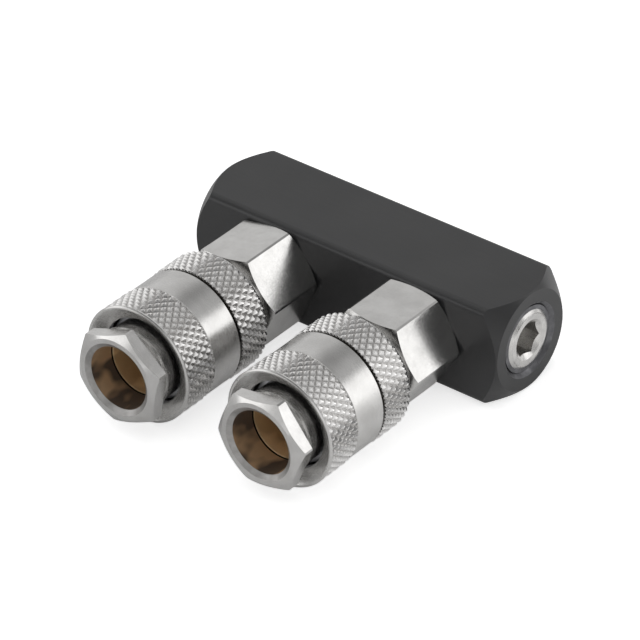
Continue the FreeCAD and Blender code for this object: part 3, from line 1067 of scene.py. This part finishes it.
@dataclass
class Coupler:
    """One quick coupler: adaptor, socket, sleeve, balls, springs and poppet.

    Heights are distances from the bar's front face.

    Attributes:
        side: which of the two it is.
        centre: where its axis lies along the bar.
        finishes: the finishes to use.
        hex_turn: the adaptor hexagon's angle in degrees.
        nose_turn: the nose hexagon's angle in degrees.
    """

    side: Side
    centre: float
    finishes: Finishes
    hex_turn: float
    nose_turn: float
    half_bar: float = 10.0
    # adaptor
    hex_apothem: float = 9.15
    hex_corner: float = 10.446
    hex_end: float = 13.4
    hex_chamfer: float = 30.0
    stub_radius: float = 6.5285
    stub_bore: float = 3.2
    stub_end: float = -6.0
    seal_inner: float = 6.8485
    seal_outer: float = 8.3485
    seal_height: float = 1.5
    relief_radius: float = 8.75
    relief_end: float = 15.4
    collar_radius: float = 9.95
    collar_end: float = 22.4
    barrel_radius: float = 8.6
    barrel_end: float = 25.0
    chamber_radius: float = 6.5
    chamber_floor: float = 6.0
    thread_radius: float = 7.0
    thread_start: float = 19.5
    core_overlap: float = 0.4
    core_wall: float = 1.0
    # socket
    nose_apothem: float = 8.55
    nose_corner: float = 9.753
    nose_face: float = 8.05
    nose_back: float = 41.6
    nose_end: float = 44.6
    nose_chamfer: float = 30.0
    mouth_radius: float = 7.15
    mouth_depth: float = 0.7
    bore_radius: float = 6.25
    bore_end: float = 28.0
    guide_front: float = 38.4
    guide_width: float = 0.35
    guide_depth: float = 0.3
    throat_radius: float = 5.1
    groove_radius: float = 6.0
    groove_front: float = 27.2
    groove_back: float = 25.4
    pilot_radius: float = 6.0
    socket_tail: float = 20.5
    neck_radius: float = 7.7
    ridge_front: float = 39.9
    ridge: float = 0.3
    ring_bed: float = 7.2
    ring_back: float = 34.0
    ring_front: float = 35.0
    thread_play: float = 0.05
    nose_overlap: float = 0.2
    # how far past a shape's own edges its finish is painted
    bore_wall: float = 0.5
    mouth_edge: float = 0.05
    guide_edge: float = 0.06
    paint_margin: float = 0.03
    # balls
    ball_radius: float = 1.25
    ball_play: float = 0.05
    ball_lip: float = 1.21
    ball_lip_depth: float = 0.8
    ball_out: float = 32.25
    ball_orbit: float = 6.6
    ball_steps: int = 24
    balls: int = 6
    # sleeve
    sleeve_radius: float = 11.596
    band_radius: float = 11.396
    sleeve_back: float = 15.6
    sleeve_front: float = 38.8
    band_back: float = 23.8
    band_front: float = 30.9
    skirt_radius: float = 10.746
    skirt_end: float = 16.7
    guide_radius: float = 10.0
    guide_start: float = 17.446
    opening: float = 8.55
    dish: float = 1.6
    lip: float = 1.0
    release: float = 8.9
    land_radius: float = 8.0
    land_back: float = 29.35
    land_front: float = 32.45
    ramp_end: float = 35.45
    knurl_depth: float = 0.45
    knurl_back: float = 16.2
    gutter_back: float = 23.05
    gutter_depth: float = 0.45
    gutter_slope: float = 0.05
    gutter_inner: float = 0.15
    gutter_outer: float = 0.2
    knurl_start: float = 31.02
    knurl_end: float = 38.3
    rear_bevel: float = 0.25
    rim_foot: float = 38.2
    rim_back: float = 38.38
    rim_front: float = 38.55
    rim_bevel: float = 0.3
    rim_width: float = 0.6
    travel: float = 3.0
    # poppet
    spigot_radius: float = 4.8
    spigot_length: float = 1.5
    disc_radius: float = 5.95
    disc_back: float = 18.2
    disc_front: float = 19.8
    tube_radius: float = 5.04
    tube_front: float = 24.4
    tube_bore: float = 3.8
    tube_floor: float = 20.8
    window: float = 1.3
    window_start: float = 1.0
    windows: int = 4
    valve_travel: float = 4.0

    def __post_init__(self) -> None:
        """Set up the workshop on this coupler's axis."""
        start = Matrix.Translation((self.centre, -self.half_bar, 0.0))
        turn = Matrix.Rotation(QUARTER_TURN, 4, "X")
        self.shop = Workshop(Matrix.Scale(MM, 4) @ start @ turn)

    def name(self, piece: str) -> str:
        """Give a piece's full name."""
        return f"{self.side.value}_{piece}"

    def deliver(self, piece: Piece, node: str, body: str, slot: str) -> None:
        """Deliver a piece that stands for one of this coupler's nodes."""
        deliver(piece, self.name(f"{node}_piece"), body, self.name(node))

    def paint(self, piece: Piece, material: Material, radii: Point, heights: Point) -> None:
        """Give a material to the faces that lie between two radii and two heights.

        Args:
            piece: an object in the frame whose first slot is filled.
            material: what those faces get.
            radii: the least and greatest distance from the coupler's axis.
            heights: the least and greatest distance from the bar's front face.
        """
        def between(point: Vector) -> bool:
            """Tell whether a corner lies between them.

            Args:
                point: the corner, in metres.

            Returns:
                True if it does.
            """
            radius = math.hypot(point.x / MM - self.centre, point.z / MM)
            height = -point.y / MM - self.half_bar
            return radii[0] < radius < radii[1] and heights[0] < height < heights[1]

        paint_faces(piece, material, between)

    def build(self) -> None:
        """Make and dress every piece of this coupler."""
        self.adaptor()
        self.socket()
        self.sleeve()
        self.locking_balls()
        self.poppet()
        self.springs()
        for label in ("port_seal", "plug_seal", "valve_seal"):
            dress(self.name(label), self.finishes.rubber)
        dress(self.name("stop_ring"), self.finishes.steel)

    def adaptor(self) -> None:
        """Make the long hexagon with its collar, barrel and stub."""
        shop = self.shop
        chamber = self.chamber_radius
        seat = self.seal_height
        end = self.hex_end
        run = (self.hex_corner - self.hex_apothem) * math.tan(math.radians(self.hex_chamfer))
        block = shop.prism("hexagon", hexagon(self.hex_apothem, self.hex_turn), 0.0, end)
        shop.carve(block, shop.turned("rounds", [
            (self.seal_outer, 0.0), (self.hex_apothem, 0.0), (self.hex_corner, run),
            (self.hex_corner, end - run), (self.hex_apothem, end), (chamber, end),
            (chamber, seat), (self.seal_outer, seat),
        ]), Carve.KEEP_COMMON)
        shop.settle(block, self.finishes.milled, edge=0.14, limit=20.0)
        core = shop.turned("core", stepped(
            self.stub_bore, self.stub_end, self.stub_radius, 0.0, self.seal_inner,
            seat + self.core_overlap, chamber + self.core_wall, end - self.core_overlap,
            self.relief_radius, self.relief_end, self.collar_radius, self.collar_end,
            self.barrel_radius, self.barrel_end, self.thread_radius, self.thread_start,
            chamber, self.chamber_floor, self.stub_bore,
        ))
        shop.settle(core, self.finishes.nickel, edge=0.08)
        whole = merged(self.name("adaptor_piece"), [block, core])
        self.deliver(whole, "adaptor", "body", "nickel")

    def socket(self) -> None:
        """Make the plug socket: hexagon nose, neck with ball holes, bore and thread."""
        finishes = self.finishes
        margin = self.paint_margin
        bore_front = self.nose_end - self.mouth_depth
        guide_back = self.guide_front - self.guide_width
        whole = merged(self.name("socket_piece"), [self._nose(bore_front), self._neck()])
        walls = (0.0, self.bore_radius + self.bore_wall)
        # Painted shade at the bore's front, painted glow behind the guide ring
        self.paint(whole, finishes.bore_front_shade, walls, (0.0, bore_front + self.mouth_edge))
        self.paint(whole, finishes.bore_deep_glow, walls, (0.0, guide_back + self.guide_edge))
        # Painted shade: a darker grey on the mouth bevel
        self.paint(whole, finishes.mouth, (0.0, self.mouth_radius + margin),
                   (bore_front - margin, self.nose_end + CLEARANCE))
        # Painted shade: the guide groove in the bore is painted near black
        self.paint(whole, finishes.groove_shade, (self.bore_radius - margin, walls[1]),
                   (guide_back - margin, self.guide_front + margin))
        self.deliver(whole, "socket", "body", "nickel")

    def _nose(self, bore_front: float) -> Piece:
        """Make the hexagon nose, with its chamfer and the bore's mouth.

        Args:
            bore_front: the height of the bore's front end.

        Returns:
            The nose, in the frame.
        """
        shop = self.shop
        run = (self.nose_corner - self.nose_face) * math.tan(math.radians(self.nose_chamfer))
        back = self.nose_back - CLEARANCE
        nose = shop.prism("nose", hexagon(self.nose_apothem, self.nose_turn), self.nose_back,
                          self.nose_end)
        shop.carve(nose, shop.turned("nose_rounds", [
            (self.bore_radius, back), (self.nose_corner, back),
            (self.nose_corner, self.nose_end - run), (self.nose_face, self.nose_end),
            (self.mouth_radius, self.nose_end), (self.bore_radius, bore_front),
        ]), Carve.KEEP_COMMON)
        return shop.settle(nose, self.finishes.milled, edge=0.16, limit=16.0)

    def _neck(self) -> Piece:
        """Make the neck behind the nose, with its bore, ball holes and thread.

        Returns:
            The neck, in the frame.
        """
        shop = self.shop
        bore = self.bore_radius
        cut = bore + self.guide_depth
        guide_back = self.guide_front - self.guide_width
        radius = self.neck_radius
        neck = shop.turned("neck", [
            *stepped(self.throat_radius, self.socket_tail, self.thread_radius - self.thread_play,
                     self.barrel_end, radius, self.ring_back, self.ring_bed, self.ring_front,
                     radius, self.ridge_front - self.ridge, radius + self.ridge,
                     self.ridge_front, radius, self.nose_back + self.nose_overlap, bore,
                     self.guide_front, cut, guide_back, bore),
            (self.pilot_radius, guide_back),
            *stepped(self.pilot_radius, self.bore_end, self.throat_radius, self.groove_front,
                     self.groove_radius, self.groove_back, self.throat_radius),
        ])
        seat = self.ball_radius + self.ball_play
        shop.drill(neck, [
            *stepped(0.0, bore - self.ball_lip_depth, self.ball_lip, bore), (seat, self.ball_orbit),
            (seat, radius + CLEARANCE), (0.0, radius + CLEARANCE),
        ], self.balls, self.ball_out)
        return shop.settle(neck, self.finishes.nickel, edge=0.05)

    def sleeve(self) -> None:
        """Make the locking sleeve and its two knurled bands."""
        shop = self.shop
        rim = self.sleeve_radius
        root = rim - self.knurl_depth
        gutter = root - self.gutter_depth
        slope = self.gutter_slope
        front = self.sleeve_front
        lip_back = front - self.dish - self.lip
        shell = shop.turned("shell", [
            (self.skirt_radius, self.sleeve_back), (root - self.rear_bevel, self.sleeve_back),
            (root, self.knurl_back), (root, self.gutter_back), (gutter, self.gutter_back + slope),
            (gutter, self.band_back - slope), (self.band_radius, self.band_back),
            (self.band_radius, self.band_front), (root, self.knurl_start), (root, self.rim_foot),
            (rim, self.rim_back), (rim, self.rim_front), (rim - self.rim_bevel, front),
            (rim - self.rim_width, front), (self.opening, front - self.dish),
            (self.opening, lip_back), (self.release, lip_back), (self.release, self.ramp_end),
            (self.land_radius, self.land_front), (self.land_radius, self.land_back),
            (self.guide_radius, self.land_back), (self.guide_radius, self.guide_start),
            (self.skirt_radius, self.skirt_end),
        ])
        shop.settle(shell, self.finishes.nickel, edge=0.07, limit=18.0)
        # Painted shade at the knurl's roots and painted highlight at its tips
        knurl_painted_light = KnurlShadeAndHighlight(f"nickel_knurl_{self.side.value}", (0.56, 0.55, 0.54),
                          (0.86, 0.85, 0.84), (0.20, 0.34), even(2400.0), 0.000006,
                          edges=(0.05, 0.75), mark_layers=2.0, centre=self.centre, root=root,
                          tip=rim).material()
        pieces = [shell]
        for label, start, end, rows in (("rear", self.knurl_back, self.gutter_back, 8),
                                        ("front", self.knurl_start, self.knurl_end, 9)):
            knurl = Knurl(rim, self.knurl_depth, start, end, rows=rows)
            band = knurl.build(f"{label}_knurl", knurl_painted_light)
            band.data.transform(shop.place)
            pieces.append(band)
        whole = merged(self.name("sleeve_piece"), pieces)
        # Painted shade: the recessed gutter between the rear knurl and the band is painted near
        # black
        self.paint(whole, self.finishes.groove_shade, (gutter - self.gutter_inner, root - self.gutter_outer),
                   (self.gutter_back - slope, self.band_back))
        self.deliver(whole, "sleeve", self.name("sleeve_body"), "nickel")

    def locking_balls(self) -> None:
        """Make each locking ball on the body that slides it."""
        radius = self.ball_radius
        turns = [math.pi * k / self.ball_steps for k in range(self.ball_steps + 1)]
        arc = [(radius * math.sin(turn), -radius * math.cos(turn)) for turn in turns]
        for i in range(self.balls):
            turn = 2 * math.pi * i / self.balls
            ball = self.shop.turned("ball", arc, steps=2 * self.ball_steps)
            ball.data.transform(Matrix.Translation((
                self.ball_orbit * math.cos(turn), self.ball_orbit * math.sin(turn), self.ball_out)))
            self.shop.settle(ball, self.finishes.polished, edge=0.0)
            label = f"ball_{i + 1}"
            self.deliver(ball, label, self.name(f"{label}_body"), "ball_steel")

    def poppet(self) -> None:
        """Make the valve: tube with windows, disc and spigot."""
        shop = self.shop
        valve = shop.turned("valve", stepped(
            0.0, self.disc_back - self.spigot_length, self.spigot_radius, self.disc_back,
            self.disc_radius, self.disc_front, self.tube_radius, self.tube_front,
            self.tube_bore, self.tube_floor, 0.0,
        ))
        shop.drill(valve, stepped(0.0, self.window_start, self.window,
                                  self.tube_radius + CLEARANCE, 0.0),
                   self.windows, (self.tube_front + self.tube_floor) / 2)
        shop.settle(valve, self.finishes.brass, edge=0.08)
        self.deliver(valve, "valve", self.name("valve_body"), "plain_brass")

    def springs(self) -> None:
        """Make both round-wire springs."""
        outer = Coil(middle=9.3, wire=0.9, start=self.collar_end, end=self.land_back, turns=3.5,
                     travel=self.travel)
        inner = Coil(middle=5.4, wire=0.7, start=self.chamber_floor, end=self.disc_back,
                     turns=5.0, travel=self.valve_travel)
        for moved, coil in (("sleeve", outer), ("valve", inner)):
            spring = coil.build(f"{moved}_spring", self.finishes.steel)
            for face in spring.data.polygons:
                face.use_smooth = True
            spring.data.transform(self.shop.place)
            self.deliver(spring, f"{moved}_spring", "body", "spring_steel")
            self.name(f"{moved}_slide")
            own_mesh(spring)


def dress(node: str, material: Material) -> None:
    """Give a node of the frame a material in all its slots.

    Args:
        node: its name.
        material: what its faces get.
    """
    piece = bpy.data.objects[node]
    if not piece.material_slots:
        piece.data.materials.append(material)
    for slot in piece.material_slots:
        slot.material = material


# Camera, floor and light


@dataclass(frozen=True)
class Camera:
    """The photograph's view, looking at the bar's middle.

    Attributes:
        azimuth: how far the camera stands round from the front, in degrees.
        elevation: how far it stands up, in degrees.
        roll: how far it leans, in degrees.
        focal_pixels: focal length in the photograph's pixels.
        photo_width: the photograph's width in pixels.
        distance: how far it stands from the bar's middle, in metres.
        slide: how far the view is shifted sideways, in metres.
        lift: how far the view is shifted upwards, in metres.
        sensor: the sensor's width in millimetres.
    """

    azimuth: float = 38.319
    elevation: float = 34.064
    roll: float = -0.319
    focal_pixels: float = 5702.9
    photo_width: float = 640.0
    distance: float = 1.030
    slide: float = 0.0104127
    lift: float = 0.008162
    sensor: float = 36.0

    def build(self, middle: Vector) -> None:
        """Make the scene's camera.

        Args:
            middle: the bar's middle, in metres.
        """
        a, e, r = (math.radians(v) for v in (self.azimuth, self.elevation, self.roll))
        back = Vector((math.sin(a) * math.cos(e), -math.cos(a) * math.cos(e), math.sin(e)))
        right = Vector((math.cos(a), math.sin(a), 0.0))
        up = back.cross(right)
        across = math.cos(r) * right + math.sin(r) * up
        upward = -math.sin(r) * right + math.cos(r) * up
        data = bpy.data.cameras.new("camera")
        data.sensor_width = self.sensor
        data.lens = self.focal_pixels / self.photo_width * self.sensor
        data.clip_end = 20.0
        camera = add_object("camera", data)
        place = middle + back * self.distance - across * self.slide - upward * self.lift
        turn = Matrix((across, upward, back)).transposed().to_4x4()
        camera.matrix_world = Matrix.Translation(place) @ turn
        bpy.context.scene.camera = camera


@dataclass(frozen=True)
class Softbox:
    """One rectangular light.

    Attributes:
        name: its name.
        place: where it stands, in metres from the object's middle.
        width: its width in metres.
        height: its height in metres.
        power: its power in watts.
    """

    name: str
    place: Triple
    width: float
    height: float
    power: float

    def build(self, target: Vector) -> None:
        """Make the light and aim it.

        Args:
            target: the point that it faces, in metres.
        """
        data = bpy.data.lights.new(self.name, "AREA")
        data.shape = "RECTANGLE"
        data.size = self.width
        data.size_y = self.height
        data.energy = self.power
        place = target + Vector(self.place)
        turn = (place - target).to_track_quat("Z", "Y").to_matrix().to_4x4()
        add_object(self.name, data).matrix_world = Matrix.Translation(place) @ turn


@dataclass(frozen=True)
class Studio:
    """A plain pale floor, a pale world and soft lights.

    Attributes:
        sleeve_bottom: the sleeves' lowest height, in metres.
        sleeve_front: where their front rims touch the floor, along Y.
        bar_bottom: the height of the bar's lower face, in metres.
        bar_rear: where its rear edge touches the floor, along Y.
        floor_size: the floor's width in metres.
        floor_glow: how much light of its own the floor shows to the camera.
        floor_sweep: the X plus Y between which metal sees the floor grow brighter.
        sweep_glow: how much brighter it grows.
        middle: the point that the lights face.
        lamps: the lights.
    """

    sleeve_bottom: float = -0.011596
    sleeve_front: float = -0.0485
    bar_bottom: float = -0.010
    bar_rear: float = 0.0085
    floor_size: float = 6.0
    floor_glow: float = 0.68
    floor_sweep: Point = (-0.05, 0.22)
    sweep_glow: float = 0.55
    middle: Triple = (0.0342, -0.02, 0.0)
    lamps: tuple[Softbox, ...] = (
        Softbox("overhead", (0.0, -0.25, 1.0), 1.1, 1.1, 3.2),
        Softbox("rear_right", (0.75, 0.70, 0.28), 0.60, 0.70, 1.45),
    )

    def build(self) -> None:
        """Make the floor, the world and the lights."""
        self._floor()
        self._world()
        for lamp in self.lamps:
            lamp.build(Vector(self.middle))
        bpy.context.scene.view_settings.view_transform = "Standard"

    def _floor(self) -> None:
        """Lay a wide floor that the sleeves' rims and the bar's rear edge both touch."""
        slope = (self.bar_bottom - self.sleeve_bottom) / (self.bar_rear - self.sleeve_front)
        half = self.floor_size / 2
        corners = [(x, y, self.sleeve_bottom + slope * (y - self.sleeve_front))
                   for x, y in ((-half, -half), (half, -half), (half, half), (-half, half))]
        mesh = bpy.data.meshes.new("floor")
        mesh.from_pydata(corners, [], [(0, 1, 2, 3)])
        mesh.materials.append(self._paper())
        add_object("floor", mesh)

    def _paper(self) -> Material:
        """Make paper that reads as white to the camera and keeps the object's shadow.

        Returns:
            The material.
        """
        shader = Shader("floor_paper", even(0.82), 0.0, 0.9)
        shader.surface.inputs["Emission Color"].default_value = (*even(1.0), 1.0)
        fibre = shader.noise(even(900.0), 2.0)
        rays = shader.node("ShaderNodeLightPath").outputs
        apart = shader.node("ShaderNodeSeparateXYZ", Vector=shader.coordinates).outputs
        across = shader.calc("ADD", apart["X"], apart["Y"])
        sweep = shader.graded(across, self.floor_sweep, (0.0, self.sweep_glow))
        mirrored = shader.calc("MULTIPLY", rays["Is Glossy Ray"], sweep)
        glow = shader.calc("MULTIPLY_ADD", rays["Is Camera Ray"], self.floor_glow, mirrored)
        return shader.done(Base_Color=shader.ramp(fibre, (0.3, even(0.80)), (0.7, even(0.84))),
                           Emission_Strength=glow)

    @staticmethod
    def _world() -> None:
        """Make a world that is white behind the object and graded where metal mirrors it."""
        world = bpy.data.worlds.new("studio")
        bpy.context.scene.world = world
        world.use_nodes = True
        wiring = Wiring(world.node_tree)
        background = world.node_tree.nodes["Background"]
        place = wiring.node("ShaderNodeTexCoord").outputs["Generated"]
        way = wiring.node("ShaderNodeSeparateXYZ", Vector=place).outputs
        aside = wiring.graded(way["X"], (-1.0, 1.0))
        shades = wiring.ramp(aside, (0.0, even(0.80)), (0.30, even(0.68)), (0.44, even(0.32)),
                             (0.52, even(0.34)), (0.62, even(0.50)))
        near = wiring.graded(way["Y"], (-0.25, 0.15), (1.0, 0.0), "SMOOTHSTEP")
        raised = wiring.graded(way["Z"], (0.32, 0.52), (0.0, 0.85), "SMOOTHSTEP")
        front = wiring.graded(way["Y"], (-0.6, 0.0), (2.0, 1.0), "SMOOTHSTEP")
        left_over = wiring.calc("SUBTRACT", 1.0, wiring.calc("MULTIPLY", near, raised))
        wiring.feed(background.inputs["Color"], shades)
        wiring.feed(background.inputs["Strength"], wiring.calc("MULTIPLY", left_over, front))
        white = wiring.node("ShaderNodeBackground", Color=(*even(1.0), 1.0), Strength=1.0)
        rays = wiring.node("ShaderNodeLightPath").outputs
        mix = wiring.node("ShaderNodeMixShader", Fac=rays["Is Camera Ray"])
        wiring.feed(mix.inputs[1], background.outputs[0])
        wiring.feed(mix.inputs[2], white.outputs[0])
        wiring.feed(world.node_tree.nodes["World Output"].inputs["Surface"], mix.outputs[0])


def main() -> None:
    """Load the frame and build the splitter, its studio and its camera."""
    logging.basicConfig(level=logging.INFO, format="%(name)s: %(message)s")
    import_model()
    finishes = Finishes()
    bar = Bar(finishes)
    Camera().build(Vector((bar.length / 2 * MM, 0.0, 0.0)))
    Studio().build()
    bar.build()
    EndPlug(finishes, bar.length).build()
    centres = bar.port_centres
    Coupler(Side.LEFT, centres[Side.LEFT], finishes, hex_turn=7.0, nose_turn=20.5).build()
    Coupler(Side.RIGHT, centres[Side.RIGHT], finishes, hex_turn=-2.0, nose_turn=8.5).build()


if __name__ == "__main__":
    main()
